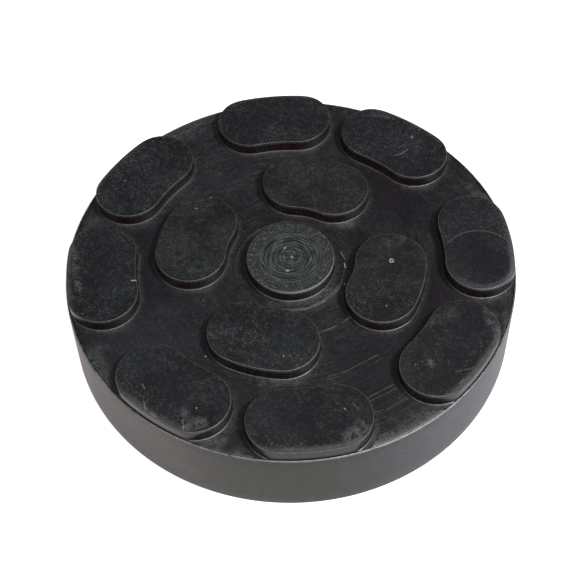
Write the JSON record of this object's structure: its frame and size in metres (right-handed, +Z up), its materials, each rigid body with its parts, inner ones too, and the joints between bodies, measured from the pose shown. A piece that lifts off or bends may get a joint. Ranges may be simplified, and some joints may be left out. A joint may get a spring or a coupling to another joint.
{
  "type": "lift arm rubber pad",
  "caption": "Round solid rubber pad for a vehicle lift arm, with a round boss in the middle and two rows of kidney-shaped grip bosses on its top face.",
  "frame": {"origin": "centre of the flat underside, where the pad stands", "axes": "+Z up along the pad's axis, through the round boss; a kidney boss of the inner row lies on each of +X, +Y, -X and -Y"},
  "size_m": [0.12, 0.12, 0.025],
  "materials": {
    "black_rubber": "moulded, satin"
  },
  "bodies": {
    "root": {"rubber_pad": "black_rubber"}
  },
  "joints": []
}
